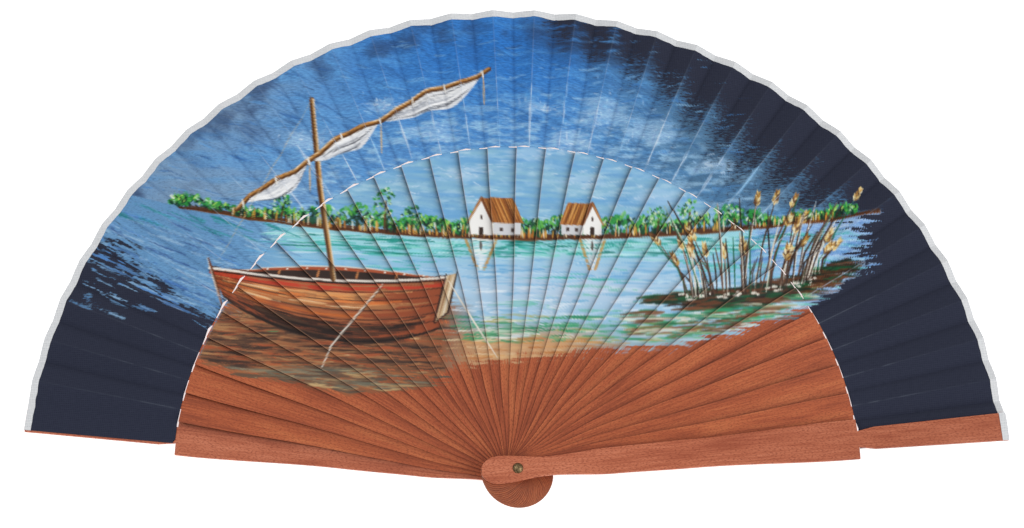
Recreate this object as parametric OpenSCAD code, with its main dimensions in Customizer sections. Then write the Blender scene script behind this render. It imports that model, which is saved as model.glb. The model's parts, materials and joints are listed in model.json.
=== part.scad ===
// Folding hand fan: thin wooden sticks between two thicker guards, all on one
// rivet, with a pleated cloth leaf. It lies fully open on its back guard.
// The rivet's axis is Z and the leaf points along +Y. Every stick has a layer of
// its own, so the fan closes by turning the sticks about the rivet.
// All sizes are in millimetres.

/* [Fan] */
// Number of inner sticks between the two guards
stick_count = 32; // [20:1:40]
// Angle from one stick to the next when the fan is open
stick_pitch = 5.1; // [4:0.1:6.2]
// Distance from the rivet to the outer edge of the leaf
fan_r = 215; // [190:1:260]
// Distance from the rivet to the shoulders, where the slips begin
shoulder_r = 149; // [120:1:180]
// Distance from the rivet to the end of a head
head_r = 16; // [14:0.5:22]

/* [Outline of every stick] */
// Distance from the rivet back to the widest place of the head
bulge_r = 8; // [6:0.5:10]
// Width of the head at its widest place
head_w = 12.2; // [10:0.1:15]
// Distance from the rivet to the neck
neck_r = 13; // [10:0.5:18]
// Width of the neck
neck_w = 8.3; // [6.5:0.1:10]
// Distance from the rivet to the first swelling of the blade
swell_r = 42; // [34:1:52]
// Distance from the rivet to the waist of the blade
waist_r = 75; // [60:1:95]

/* [Inner stick] */
// Width of an inner stick at the first swelling
stick_swell_w = 11.2; // [9:0.1:14]
// Width of an inner stick at its waist
stick_waist_w = 11.8; // [9:0.1:15]
// Width of an inner stick at its shoulders
stick_shoulder_w = 15.6; // [13.5:0.1:19]
// Thickness of the blade
stick_t = 0.3; // [0.2:0.01:0.6]
// Width of the slip where it leaves the shoulders
slip_root_w = 4.2; // [3:0.1:5.2]
// Width of the slip at its tip
slip_tip_w = 5.2; // [3.5:0.1:6.5]
// Thickness of the slip, which is shaved down to take the cloth
slip_t = 0.12; // [0.08:0.01:0.18]

/* [Guards] */
// Width of a guard at the first swelling
guard_swell_w = 11.6; // [9:0.1:14]
// Width of a guard at its waist
guard_waist_w = 12.6; // [10:0.1:16]
// Width of a guard at its shoulders
guard_shoulder_w = 17.6; // [14:0.1:22]
// Width of a guard's slip where it leaves the shoulders
guard_slip_root_w = 9.4; // [7:0.1:12]
// Width of a guard's slip at its tip
guard_slip_tip_w = 12.4; // [9:0.1:15]
// Thickness of a guard
guard_t = 2; // [1.6:0.1:3.5]

/* [Leaf and tape] */
// Thickness of the cloth
cloth_t = 0.2; // [0.1:0.05:0.4]
// Height of the pleats at the outer edge of the cloth
pleat_h = 3.6; // [2.5:0.1:4.6]
// Gap between the shoulders and the inner edge of the cloth
shoulder_gap = 0.6; // [0.3:0.1:2]
// Wood left bare beside the cloth on the back guard, as an angle at the rivet
guard_rim = 0.15; // [0.05:0.05:0.5]
// Width of the tape that binds the outer edge
tape_w = 3; // [2:0.1:5]
// Thickness of the tape
tape_t = 0.2; // [0.1:0.05:0.3]

/* [Rivet] */
// Diameter of the shank
shank_d = 2; // [1.5:0.1:3]
// Diameter of the domed cap
cap_d = 4.6; // [4:0.1:7]
// Height of the domed cap
cap_h = 1.2; // [0.9:0.1:1.8]
// How far the shank reaches into the cap
shank_in_cap = 0.6; // [0.3:0.1:0.7]
// Diameter of the flat tail
tail_d = 4; // [3.5:0.1:5]
// Thickness of the flat tail
tail_t = 0.4; // [0.3:0.05:0.6]
// Diameter of the washer under the tail
washer_d = 4.8; // [4.5:0.1:6.5]
// Thickness of the washer
washer_t = 0.3; // [0.2:0.05:0.5]

/* [Clearances] */
// Gap between one layer and the next
layer_gap = 0.02; // [0.01:0.01:0.1]
// Radial play of the rivet in its holes
bore_play = 0.05; // [0.03:0.01:0.1]
// Gap between the rivet's loose faces and the guards
rivet_gap = 0.04; // [0.02:0.01:0.1]
// Gap between the tape and what it wraps
tape_gap = 0.02; // [0.01:0.01:0.05]
// Radial gap between the cap and the end of the shank inside it
cap_gap = 0.02; // [0.01:0.01:0.05]

/* [Hidden] */
function stick_name(k) = str("stick_", k < 10 ? "0" : "", k);
STICKS = [for (k = [1:stick_count]) stick_name(k)];

// Segments of each eased stretch, each short arc, small circles and large ones
ease_steps = 5;
arc_steps = 4;
$fn = 72;
ring_fn = 360;
// Angle between two points on the rounded end of a head
head_step = 15;
// How far a cut runs past the face that it opens
overshoot = 1;
// A point nearer to the middle line than this lies on it and has no mirror image
on_line = 0.001;
// How far a slip reaches back into its blade, so that the two are one piece
slip_reach = 4;

wood_dark = "#a5563a";
wood_light = "#b9704f";
cloth_colour = "#2b3245";
tape_colour = "#d9dce2";
brass = "#8c8450";

// Angles: the back guard is place 0, the front guard is the last place
last = stick_count + 1;
opening = last * stick_pitch;
function place_angle(k) = 90 + opening / 2 - k * stick_pitch;

// Heights: the underside of each place in the stack
layer = stick_t + layer_gap;
function place_z(k) = k == 0 ? 0 : guard_t + layer_gap + (k - 1) * layer;
top_z = place_z(last) + guard_t;

// The cloth ends inside the tape, and the guards' tips end with the cloth
cloth_outer_r = fan_r - tape_t - tape_gap;
cloth_inner_r = shoulder_r + shoulder_gap;
tape_inner_r = fan_r - tape_w;
slip_end_r = tape_inner_r - shoulder_gap;

// The tape's lower fold has to fit between the cloth and the wood
cloth_lift = layer_gap + tape_t + tape_gap;
// A ridge stands on the left edge of each slip, and a valley half a pitch on
slip_half_angle = asin(slip_root_w / 2 / shoulder_r);
guard_half_angle = asin(guard_slip_root_w / 2 / shoulder_r);
guard_tip_half_angle = asin(guard_slip_tip_w / 2 / cloth_outer_r);
// Share of a pleat's height that stands above the slip
ridge_share = 0.72;
// Angle by which the last fold clears the front guard's edge
fold_clear = 0.1;

bore_r = shank_d / 2 + bore_play;
recess_r = washer_d / 2 + bore_play;
recess_h = tail_t + rivet_gap + washer_t + rivet_gap;

// ---- Outlines, drawn along +X with the rivet at the origin ----

function ease(t) = t * t * (3 - 2 * t);
function polar(r, a) = [r * cos(a), r * sin(a)];
function mirrored(points) = [for (i = [len(points) - 1:-1:0]) [points[i].x, -points[i].y]];

// The rounded end of the head, from the rivet's far side up to the bulge
head_arc = [
    for (a = [0:head_step:90 - head_step])
        [-bulge_r - (head_r - bulge_r) * cos(a), head_w / 2 * sin(a)]
];

// One side from the bulge to the shoulder, eased between [distance, half width]
function side(stations) = [
    for (i = [0:len(stations) - 2])
        for (s = [0:ease_steps - 1])
            let (a = stations[i], b = stations[i + 1], t = s / ease_steps)
                [a.x + (b.x - a.x) * t, a.y + (b.y - a.y) * ease(t)]
];

// An arc about the rivet, from half width w1 down to half width w2
function shoulder_arc(r, w1, w2) = [
    for (s = [0:arc_steps])
        let (a1 = asin(w1 / r), a2 = asin(w2 / r))
            polar(r, a1 + (a2 - a1) * s / arc_steps)
];

function blade_outline(swell_w, waist_w, shoulder_w) =
    let (
        corner = sqrt(shoulder_r * shoulder_r - shoulder_w * shoulder_w / 4),
        stations = [
            [-bulge_r, head_w / 2],
            [neck_r, neck_w / 2],
            [swell_r, swell_w / 2],
            [waist_r, waist_w / 2],
            [corner, shoulder_w / 2]
        ],
        upper = concat(head_arc, side(stations), shoulder_arc(shoulder_r, shoulder_w / 2, 0))
    )
    concat(upper, [for (p = mirrored(upper)) if (abs(p.y) > on_line) p]);

function slip_outline(root_w, tip_w, end_r) =
    let (
        root = polar(shoulder_r, asin(root_w / 2 / shoulder_r)),
        upper = concat(
            [[root.x - slip_reach, root.y]],
            [root],
            shoulder_arc(end_r, tip_w / 2, 0)
        )
    )
    concat(upper, [for (p = mirrored(upper)) if (abs(p.y) > on_line) p]);

module place(k) {
    translate([0, 0, place_z(k)])
        rotate([0, 0, place_angle(k)])
            children();
}

module bore(h) {
    translate([0, 0, -overshoot])
        cylinder(r = bore_r, h = h + 2 * overshoot);
}

// ---- Sticks and guards ----

module stick(k) {
    color(wood_dark)
        place(k)
            difference() {
                union() {
                    linear_extrude(stick_t)
                        polygon(blade_outline(stick_swell_w, stick_waist_w, stick_shoulder_w));
                    linear_extrude(slip_t)
                        polygon(slip_outline(slip_root_w, slip_tip_w, slip_end_r));
                }
                bore(stick_t);
            }
}

module guard_blank() {
    difference() {
        linear_extrude(guard_t)
            union() {
                polygon(blade_outline(guard_swell_w, guard_waist_w, guard_shoulder_w));
                polygon(slip_outline(guard_slip_root_w, guard_slip_tip_w, cloth_outer_r));
            }
        bore(guard_t);
    }
}

// The back guard's underside is let in, so that the rivet's tail lies flush
module back_guard() {
    color(wood_light)
        place(0)
            difference() {
                guard_blank();
                translate([0, 0, -overshoot])
                    cylinder(r = recess_r, h = overshoot + recess_h);
            }
}

module front_guard() {
    color(wood_light)
        place(last)
            guard_blank();
}

// ---- Rivet ----

module rivet_pin() {
    color(brass) {
        cylinder(d = tail_d, h = tail_t);
        cylinder(d = shank_d, h = top_z + rivet_gap + shank_in_cap);
    }
}

module back_washer() {
    color(brass)
        translate([0, 0, tail_t + rivet_gap])
            difference() {
                cylinder(d = washer_d, h = washer_t);
                bore(washer_t);
            }
}

// The cap is a slice of a ball, pressed over the end of the shank
module rivet_cap() {
    ball_r = (cap_d * cap_d / 4 + cap_h * cap_h) / (2 * cap_h);
    color(brass)
        translate([0, 0, top_z + rivet_gap])
            difference() {
                intersection() {
                    translate([0, 0, cap_h - ball_r])
                        sphere(r = ball_r);
                    cylinder(d = cap_d + overshoot, h = cap_h + overshoot);
                }
                translate([0, 0, -overshoot])
                    cylinder(r = shank_d / 2 + cap_gap, h = overshoot + shank_in_cap + cap_gap);
            }
}

// ---- Leaf ----

// Each fold line is [angle, height at the rivet, rise per millimetre of radius]
pleat_rise = pleat_h / cloth_outer_r;
function cloth_z(k) = place_z(k) + (k == 0 ? guard_t : slip_t) + cloth_lift;
function ridge(k) = [
    place_angle(k) + slip_half_angle, cloth_z(k), ridge_share * pleat_rise
];
function valley(k) = [
    place_angle(k) + slip_half_angle - stick_pitch / 2,
    cloth_z(k),
    k == 0 ? 0 : (ridge_share - 1) * pleat_rise
];
under_guard_z = place_z(last) - cloth_lift - cloth_t;
folds = concat(
    [[place_angle(0) + guard_tip_half_angle - guard_rim, cloth_z(0), 0], valley(0)],
    [for (k = [1:stick_count]) each [ridge(k), valley(k)]],
    [
        [place_angle(last) + guard_half_angle + fold_clear, under_guard_z, 0],
        [place_angle(last) - guard_tip_half_angle + guard_rim, under_guard_z, 0]
    ]
);

function on_fold(fold, r, z) =
    [r * cos(fold.x), r * sin(fold.x), fold.y + fold.z * r + z];

// A solid that follows the pleats: section is a ring of [radius, height over the cloth],
// and ends are the four-sided faces that close it at its first and last fold
module pleated(section, ends) {
    n = len(section);
    points = [for (fold = folds) for (p = section) on_fold(fold, p.x, p.y)];
    far = (len(folds) - 1) * n;
    walls = [
        for (i = [0:len(folds) - 2])
            for (j = [0:n - 1])
                let (
                    a = i * n + j,
                    b = i * n + (j + 1) % n,
                    c = b + n,
                    d = a + n
                )
                each [[a, b, c], [a, c, d]]
    ];
    polyhedron(
        points = points,
        faces = concat(
            walls,
            [for (f = ends) [f[3], f[2], f[1], f[0]]],
            [for (f = ends) [for (j = f) far + j]]
        )
    );
}

module leaf() {
    color(cloth_colour)
        pleated([
            [cloth_inner_r, 0],
            [cloth_outer_r, 0],
            [cloth_outer_r, cloth_t],
            [cloth_inner_r, cloth_t]
        ], [[0, 1, 2, 3]]);
}

// White tape folded over the outer edge of the cloth
module edge_binding() {
    inside = tape_gap;
    outside = tape_gap + tape_t;
    color(tape_colour)
        pleated([
            [tape_inner_r, -outside],
            [fan_r, -outside],
            [fan_r, cloth_t + outside],
            [tape_inner_r, cloth_t + outside],
            [tape_inner_r, cloth_t + inside],
            [cloth_outer_r + inside, cloth_t + inside],
            [cloth_outer_r + inside, -inside],
            [tape_inner_r, -inside]
        ], [[0, 1, 6, 7], [1, 2, 5, 6], [2, 3, 4, 5]]);
}

// The same tape, carried over the tip of the front guard
module tip_binding() {
    color(tape_colour)
        place(last)
            difference() {
                intersection() {
                    linear_extrude(guard_t + tape_gap + tape_t)
                        polygon(slip_outline(guard_slip_root_w, guard_slip_tip_w, fan_r));
                    difference() {
                        cylinder(r = fan_r, h = guard_t + overshoot, $fn = ring_fn);
                        translate([0, 0, -overshoot])
                            cylinder(r = tape_inner_r, h = guard_t + 3 * overshoot, $fn = ring_fn);
                    }
                }
                translate([0, 0, -overshoot])
                    cylinder(
                        r = cloth_outer_r + tape_gap,
                        h = overshoot + guard_t + tape_gap,
                        $fn = ring_fn
                    );
            }
}

back_guard();
front_guard();
for (k = [1:stick_count])
    stick(k);
leaf();
edge_binding();
tip_binding();
rivet_pin();
rivet_cap();
back_washer();
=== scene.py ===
# %% [markdown]
# # A painted folding fan
# A folding fan is thirty-two thin wooden sticks between two thicker guards, all on one
# rivet, with a pleated cotton leaf glued to their narrow ends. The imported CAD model
# says where every piece is. Here each piece gets its real surface: bent wood, folded
# cloth, a tape round the edge, and a lake scene painted over cloth and wood alike.

# %% Load the frame
import json
import math

import bmesh
import bpy
import numpy as np
from mathutils import Matrix, Vector


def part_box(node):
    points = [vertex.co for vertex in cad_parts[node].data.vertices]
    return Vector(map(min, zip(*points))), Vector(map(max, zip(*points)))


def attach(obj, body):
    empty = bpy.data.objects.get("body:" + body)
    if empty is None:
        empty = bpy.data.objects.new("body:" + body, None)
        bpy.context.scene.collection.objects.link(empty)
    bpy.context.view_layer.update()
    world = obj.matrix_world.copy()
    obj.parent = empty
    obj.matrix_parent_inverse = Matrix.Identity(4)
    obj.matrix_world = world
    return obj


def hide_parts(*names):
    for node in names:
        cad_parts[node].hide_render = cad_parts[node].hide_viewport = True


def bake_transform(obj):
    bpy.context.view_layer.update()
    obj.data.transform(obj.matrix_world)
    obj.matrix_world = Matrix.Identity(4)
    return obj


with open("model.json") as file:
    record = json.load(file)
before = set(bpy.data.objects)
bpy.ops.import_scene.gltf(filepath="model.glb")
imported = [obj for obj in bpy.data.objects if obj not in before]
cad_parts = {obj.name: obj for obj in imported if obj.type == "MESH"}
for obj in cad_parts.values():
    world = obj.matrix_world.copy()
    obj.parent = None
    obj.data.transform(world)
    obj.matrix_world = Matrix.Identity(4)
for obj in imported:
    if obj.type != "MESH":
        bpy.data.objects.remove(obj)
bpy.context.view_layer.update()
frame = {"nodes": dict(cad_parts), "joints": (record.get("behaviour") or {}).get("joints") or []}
MM = 0.001

STICKS = sorted(name for name in frame["nodes"] if name.startswith("stick_"))
LAST = len(STICKS) + 1
OPENING = max(j["range_deg"][1] for j in frame["joints"] if j["name"] == "fan_fold")
PITCH = OPENING / LAST
print(len(STICKS), "sticks, one every", round(PITCH, 2), "degrees")

# %% [markdown]
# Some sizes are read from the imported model: how far the leaf reaches from the rivet and
# how high each layer lies. The widths along a stick are the same stations that the CAD
# source uses. All of them are in millimetres, and a mesh is scaled to metres at the end.

# %% Sizes in millimetres


def reach(node):
    """Nearest and farthest distance of a node's points from the rivet's axis."""
    points = np.array([v.co for v in frame["nodes"][node].data.vertices]) / MM
    away = np.hypot(points[:, 0], points[:, 1])
    return away.min(), away.max()


CLOTH_IN, CLOTH_OUT = reach("leaf")
TAPE_IN, FAN_R = reach("edge_binding")
GUARD_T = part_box("back_guard")[1].z / MM
FRONT_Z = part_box("front_guard")[0].z / MM
TOP_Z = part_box("front_guard")[1].z / MM
STICK_T = (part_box("stick_01")[1].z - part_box("stick_01")[0].z) / MM
SHOULDER_R = 149.0
HEAD_R, BULGE_R, HEAD_W = 16.0, 8.0, 12.2
STICK_STATIONS = [(13, 8.3), (42, 11.2), (75, 11.8), (SHOULDER_R, 15.6)]
GUARD_STATIONS = [(13, 8.3), (42, 11.6), (75, 12.6), (SHOULDER_R, 17.6)]
STICK_SLIP = (4.2, 5.2, 211.4)
GUARD_SLIP = (9.4, 12.4, CLOTH_OUT)
BORE_R = 1.05
GUARD_BEVEL, CAP_BEVEL = 0.3, 0.18
WASHER_POCKET_R = 2.45


def place_angle(k):
    """Direction of the piece in place k, in degrees. The back guard is place 0."""
    return 90 + OPENING / 2 - k * PITCH


def place_z(k):
    """Underside of the piece in place k."""
    return 0.0 if k == 0 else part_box(STICKS[k - 1])[0].z / MM


def unit(t):
    return np.clip(t, 0, 1)


def ease(t):
    t = unit(t)
    return t * t * (3 - 2 * t)


print("leaf", round(CLOTH_IN, 1), "to", round(CLOTH_OUT, 1), "mm, stack", TOP_Z, "mm")

# %% [markdown]
# ## Camera
# The camera looks down on the open fan from the rivet's side, 73 degrees above the
# table, with a long lens so that the leaf keeps its half circle.

# %% Camera
CAMERA_TARGET = Vector((-2.6, 96.1, 0)) * MM
CAMERA_DISTANCE = 1130 * MM
CAMERA_ELEVATION = math.radians(73.1)
CAMERA_AZIMUTH = math.radians(-7.1)
CAMERA_ROLL = math.radians(7.8)
CAMERA_LENS = 88.8

flat = math.cos(CAMERA_ELEVATION)
back = Vector((math.sin(CAMERA_AZIMUTH) * flat, -math.cos(CAMERA_AZIMUTH) * flat,
               math.sin(CAMERA_ELEVATION)))
level = Vector((math.cos(CAMERA_AZIMUTH), math.sin(CAMERA_AZIMUTH), 0))
upright = back.cross(level)
right = math.cos(CAMERA_ROLL) * level + math.sin(CAMERA_ROLL) * upright
up = math.cos(CAMERA_ROLL) * upright - math.sin(CAMERA_ROLL) * level

camera = bpy.data.objects.new("camera", bpy.data.cameras.new("camera"))
bpy.context.scene.collection.objects.link(camera)
camera.data.lens = CAMERA_LENS
camera.data.sensor_width = 36
camera.data.clip_start = 0.05
camera.data.clip_end = 20
turn = Matrix((right, up, back)).transposed().to_4x4()
camera.matrix_world = Matrix.Translation(CAMERA_TARGET + CAMERA_DISTANCE * back) @ turn
bpy.context.scene.camera = camera
print("camera", [round(c, 3) for c in camera.location])

# %% [markdown]
# ## Colours and nodes
# Colours are written as sRGB hex values, as on a paint chart. Blender works in linear
# light, so one function turns them. The others each add a shader node with its links,
# and most of them return its output.

# %% Helpers for materials


def srgb(code):
    """The three sRGB values of a hex colour, from 0 to 1."""
    return np.array([int(code[i : i + 2], 16) / 255 for i in (1, 3, 5)])


def to_linear(values):
    values = np.asarray(values, float)
    return np.where(values <= 0.04045, values / 12.92, ((values + 0.055) / 1.055) ** 2.4)


def linear(code):
    return (*to_linear(srgb(code)), 1.0)


def feed(tree, node, inputs):
    """Sets a node's inputs: each to a value, or to the output that feeds it."""
    for key, value in inputs.items():
        if isinstance(value, bpy.types.NodeSocket):
            tree.links.new(value, node.inputs[key])
        else:
            node.inputs[key].default_value = value


def add_node(tree, kind, inputs=None, **settings):
    node = tree.nodes.new("ShaderNode" + kind)
    for name, value in settings.items():
        setattr(node, name, value)
    feed(tree, node, inputs or {})
    return node


def maths(tree, operation, *values, clamp=False):
    return add_node(tree, "Math", dict(enumerate(values)), operation=operation,
                    use_clamp=clamp).outputs["Value"]


def mix(tree, factor, a, b, **settings):
    return add_node(tree, "Mix", {"Factor": factor, "A": a, "B": b},
                    **settings).outputs["Result"]


def mix_colours(tree, factor, a, b, kind="MIX"):
    return mix(tree, factor, a, b, data_type="RGBA", blend_type=kind)


def rescale(tree, value, low, high, to_low=0.0, to_high=1.0):
    """A value between low and high, carried over to another range."""
    return add_node(tree, "MapRange", {"Value": value, "From Min": low, "From Max": high,
                                       "To Min": to_low, "To Max": to_high}).outputs["Result"]


def attribute(tree, name):
    return add_node(tree, "Attribute", attribute_name=name).outputs["Fac"]


def long_noise(tree, uv, scale, detail, turn=0.0, roughness=0.5):
    """Noise on a UV map, drawn out where the scale is small."""
    at = add_node(tree, "Mapping", {"Vector": uv, "Rotation": (0, 0, turn), "Scale": scale})
    return add_node(tree, "TexNoise", {"Vector": at.outputs["Vector"], "Scale": 1.0,
                                       "Detail": detail, "Roughness": roughness}).outputs["Fac"]


def ramp(tree, value, *stops):
    """A ramp of colours. Each stop is a position and a hex colour, in order."""
    node = add_node(tree, "ValToRGB", {"Fac": value})
    marks = node.color_ramp.elements
    for mark, (position, code) in ((marks[0], stops[0]), (marks[1], stops[-1])):
        mark.position, mark.color = position, linear(code)
    for position, code in stops[1:-1]:
        marks.new(position).color = linear(code)
    return node.outputs["Color"]


def bump(tree, height, strength, distance):
    return add_node(tree, "Bump", {"Height": height, "Strength": strength,
                                   "Distance": distance}).outputs["Normal"]


def new_material(name):
    """A material with its Principled shader, ready for nodes."""
    material = bpy.data.materials.new(name)
    material.use_nodes = True
    return material, material.node_tree, material.node_tree.nodes["Principled BSDF"]


# %% [markdown]
# ## Studio
# The fan lies on a pale light table, so the narrow gaps between the leaf and the sticks
# show bright. A white surround and two large lamps give soft light, stronger from the
# front right. The key lamp is wide and low, so the shade where one stick passes under
# the next is soft.

# %% Floor, surround and lamps
scene = bpy.context.scene
scene.view_settings.view_transform = "Standard"
FLOOR_Z = -0.0003
FLOOR_GLOW, SURROUND_GLOW = 0.75, 0.45

bpy.ops.mesh.primitive_plane_add(size=8, location=(0, 0, FLOOR_Z))
floor = bpy.context.object
floor.name = "floor"
floor_paint, tree, shader = new_material("opal_acrylic_light_table")
feed(tree, shader, {"Base Color": linear("#f2f2f2"), "Roughness": 0.8,
                    "Specular IOR Level": 0.1, "Emission Color": linear("#ffffff"),
                    "Emission Strength": FLOOR_GLOW})
floor.data.materials.append(floor_paint)

world = bpy.data.worlds.new("surround")
world.use_nodes = True
feed(world.node_tree, world.node_tree.nodes["Background"],
     {"Color": linear("#ffffff"), "Strength": SURROUND_GLOW})
scene.world = world


def lamp(name, place, aim, size, power):
    """A square area lamp at place, turned towards aim."""
    data = bpy.data.lights.new(name, "AREA")
    data.size, data.energy = size, power
    made = bpy.data.objects.new(name, data)
    scene.collection.objects.link(made)
    made.location = place
    made.rotation_euler = (Vector(aim) - Vector(place)).to_track_quat("-Z", "Y").to_euler()
    return made


lamp("key", (1.15, -0.35, 0.95), (0, 0.1, 0), 1.5, 15.4)
lamp("fill", (-0.9, 0.3, 1.2), (0, 0.1, 0), 0.9, 7.4)

# %% [markdown]
# ## How the fan bends
# On the real fan the sticks are thin enough to bend. At the rivet they lie flat on each
# other. Towards the leaf each one twists, so that its left edge lifts off the stick
# below, and its slip lies against one side of a pleat. The leaf's folds follow: a ridge
# on the left edge of every slip, and a valley half a pitch further on. The pleats are
# spread evenly between the two guards, so they still fit when the fan is closed.

# %% Heights of the pleats and the slips
SLIP_HALF_ANGLE = math.degrees(math.asin(STICK_SLIP[0] / 2 / SHOULDER_R))
HALF_PITCH = math.radians(PITCH / 2)
CLOTH_T = 0.12
TAPE_T = 0.12
SLIP_T = 0.1
GLUE_GAP = 0.03
BLADE_SLOPE = math.radians(6)
PLEAT_SLOPE_IN, PLEAT_SLOPE_OUT = math.radians(8.5), math.radians(19)
INNER_ROOM_LOW, INNER_ROOM_HIGH = 3.0, 1.05
OUTER_ROOM = 1.9
PAST_GUARD, FRONT_FOLD = 1.5, 1.92


def pleat_slope(r):
    return PLEAT_SLOPE_IN + (PLEAT_SLOPE_OUT - PLEAT_SLOPE_IN) * ease((r - SHOULDER_R) / 30)


def pleat_height(r):
    """Height from a valley to the next ridge."""
    return np.tan(pleat_slope(r)) * HALF_PITCH * r


def pleat_middle(k, r):
    """Height halfway up the pleat that stick k carries."""
    share = (k - 1) / (LAST - 2)
    inner = INNER_ROOM_LOW + share * (FRONT_Z - INNER_ROOM_HIGH - INNER_ROOM_LOW)
    outer = GUARD_T + OUTER_ROOM + share * (FRONT_Z - OUTER_ROOM - GUARD_T - OUTER_ROOM)
    t = unit((r - SHOULDER_R) / (CLOTH_OUT - SHOULDER_R))
    return inner + (outer - inner) * t


def stick_slope(r):
    """Sideways slope of a stick, which lifts its left edge."""
    blade = BLADE_SLOPE * ease((r - 30) / (SHOULDER_R - 30))
    return blade + (pleat_slope(r) - BLADE_SLOPE) * ease((r - SHOULDER_R) / 5)


def stick_middle(k, r):
    """Height of the middle of stick k's thickness, on its own middle line."""
    shown = np.maximum(r, SHOULDER_R)
    under_cloth = (pleat_middle(k, shown)
                   + pleat_height(shown) * (0.5 - math.radians(SLIP_HALF_ANGLE) / HALF_PITCH)
                   - CLOTH_T / 2 - GLUE_GAP - SLIP_T / 2)
    low = place_z(k) + STICK_T / 2
    return low + (under_cloth - low) * ease((r - 40) / (SHOULDER_R - 40))


def stick_thickness(r):
    """A stick is shaved thinner towards the leaf, and thinnest on its slip."""
    blade = STICK_T - 0.06 * ease((r - 40) / 100)
    return blade + (SLIP_T - blade) * ease((r - SHOULDER_R + 1) / 2)


# A fold is its angle, its share of the front guard's turn, the stick whose pleat it belongs
# to, and on which side of that pleat's middle height it lies.
folds = [(place_angle(0) + PAST_GUARD, 0.0, None, None)]
folds.append((place_angle(0) + SLIP_HALF_ANGLE - PITCH / 2, 0.0, None, None))
for k in range(1, LAST):
    ridge = place_angle(k) + SLIP_HALF_ANGLE
    folds.append((ridge, k / LAST, k, 0.5))
    folds.append((ridge - PITCH / 2, k / LAST, k, -0.5))
folds.append((place_angle(LAST) + FRONT_FOLD, 1.0, None, None))
folds.append((place_angle(LAST) - PAST_GUARD, 1.0, None, None))
FOLD_ANGLES = np.array([f[0] for f in folds])
FOLD_SHARES = np.array([f[1] for f in folds])
LEAF_ON_BACK = GUARD_T + TAPE_T + CLOTH_T / 2 + 2 * GLUE_GAP
LEAF_UNDER_FRONT = FRONT_Z - TAPE_T - CLOTH_T / 2 - 2 * GLUE_GAP


def fold_height(i, r):
    """Height of fold i of the leaf's middle surface at radius r."""
    k, side = folds[i][2], folds[i][3]
    if k is None:
        return np.full_like(r, LEAF_ON_BACK if i < 2 else LEAF_UNDER_FRONT)
    return pleat_middle(k, r) + side * pleat_height(r)


def leaf_height(angle, r):
    """Height of the leaf's middle surface, with the soft bow of cloth between folds."""
    facet = np.clip(np.searchsorted(-FOLD_ANGLES, -angle, "right") - 1, 0, len(folds) - 2)
    u = (FOLD_ANGLES[facet] - angle) / (FOLD_ANGLES[facet] - FOLD_ANGLES[facet + 1])
    z = np.zeros_like(r)
    for i in np.unique(facet):
        on = facet == i
        a, b = fold_height(i, r[on]), fold_height(i + 1, r[on])
        z[on] = a + (b - a) * u[on]
    return z


print("folds", len(folds), "pleats", round(float(pleat_height(CLOTH_OUT)), 2), "mm high")

# %% [markdown]
# ## The painting
# The scene is painted while the fan is open, straight over cloth and wood. It is built
# here as a painter would: a canvas in millimetres, broad washes first, then strokes laid
# one over another. It is a plain lake view of no particular place. The colours are then
# kept on the points of the leaf and of the sticks, so no picture file is needed.

# %% Canvas and brushes
GRAIN = 0.3
CANVAS_R, CANVAS_LOW = 217, 20
X, Y = np.meshgrid(np.arange(-CANVAS_R, CANVAS_R, GRAIN), np.arange(CANVAS_LOW, CANVAS_R, GRAIN))
paint = np.zeros(X.shape + (3,)) + srgb("#5a90c8")
cover = np.zeros(X.shape)
rng = np.random.default_rng(5)
between = rng.uniform


def pick(codes):
    return codes[rng.integers(len(codes))]


def spots(count, left, right, low, high):
    """Random points of the canvas between four limits."""
    for _ in range(count):
        yield between(left, right), between(low, high)


def lying(x, y, long, start, end):
    """A line through x and y, its two ends a little above or below."""
    return [(x - long / 2, y + start), (x + long / 2, y + end)]


def drawn(value):
    """A value drawn at random from a range (a tuple) or from colours (a list)."""
    if isinstance(value, tuple):
        return between(*value)
    return pick(value) if isinstance(value, list) else value


def noise(u, v, seed):
    """Smooth random values from 0 to 1 on a grid of unit cells."""
    table = np.random.default_rng(seed).random((257, 257))
    table[256], table[:, 256] = table[0], table[:, 0]
    i, j = np.floor(u).astype(int), np.floor(v).astype(int)
    fu, fv = ease(u - i), ease(v - j)
    i, j = i % 256, j % 256
    low = table[j, i] * (1 - fu) + table[j, i + 1] * fu
    high = table[j + 1, i] * (1 - fu) + table[j + 1, i + 1] * fu
    return low * (1 - fv) + high * fv


def bell(u, v=0.0):
    return np.exp(-(u**2) - v**2)


def layered(u, v, seed, layers=4):
    """Noise with finer and finer layers."""
    total = sum(noise(u * 2**n, v * 2**n, seed + n) / 2**n for n in range(layers))
    return total / (2 - 2 / 2**layers)


def lay(window, code, alpha):
    """Lays a colour over part of the canvas."""
    alpha = unit(alpha)
    paint[window] += (srgb(code) - paint[window]) * alpha[..., None]
    cover[window] = alpha + cover[window] * (1 - alpha)


def wash(code, alpha):
    """A thin colour over the paint that is there. It doesn't reach bare places."""
    paint[...] += (srgb(code) - paint) * unit(alpha)[..., None]


def window_of(points, margin):
    """The part of the canvas round some points."""
    low, high = np.min(points, 0) - margin, np.max(points, 0) + margin
    i = np.clip([(v + CANVAS_R) / GRAIN for v in (low[0], high[0])], 0, X.shape[1])
    j = np.clip([(v - CANVAS_LOW) / GRAIN for v in (low[1], high[1])], 0, X.shape[0])
    return np.s_[int(j[0]) : int(j[1]) + 1, int(i[0]) : int(i[1]) + 1]


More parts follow.
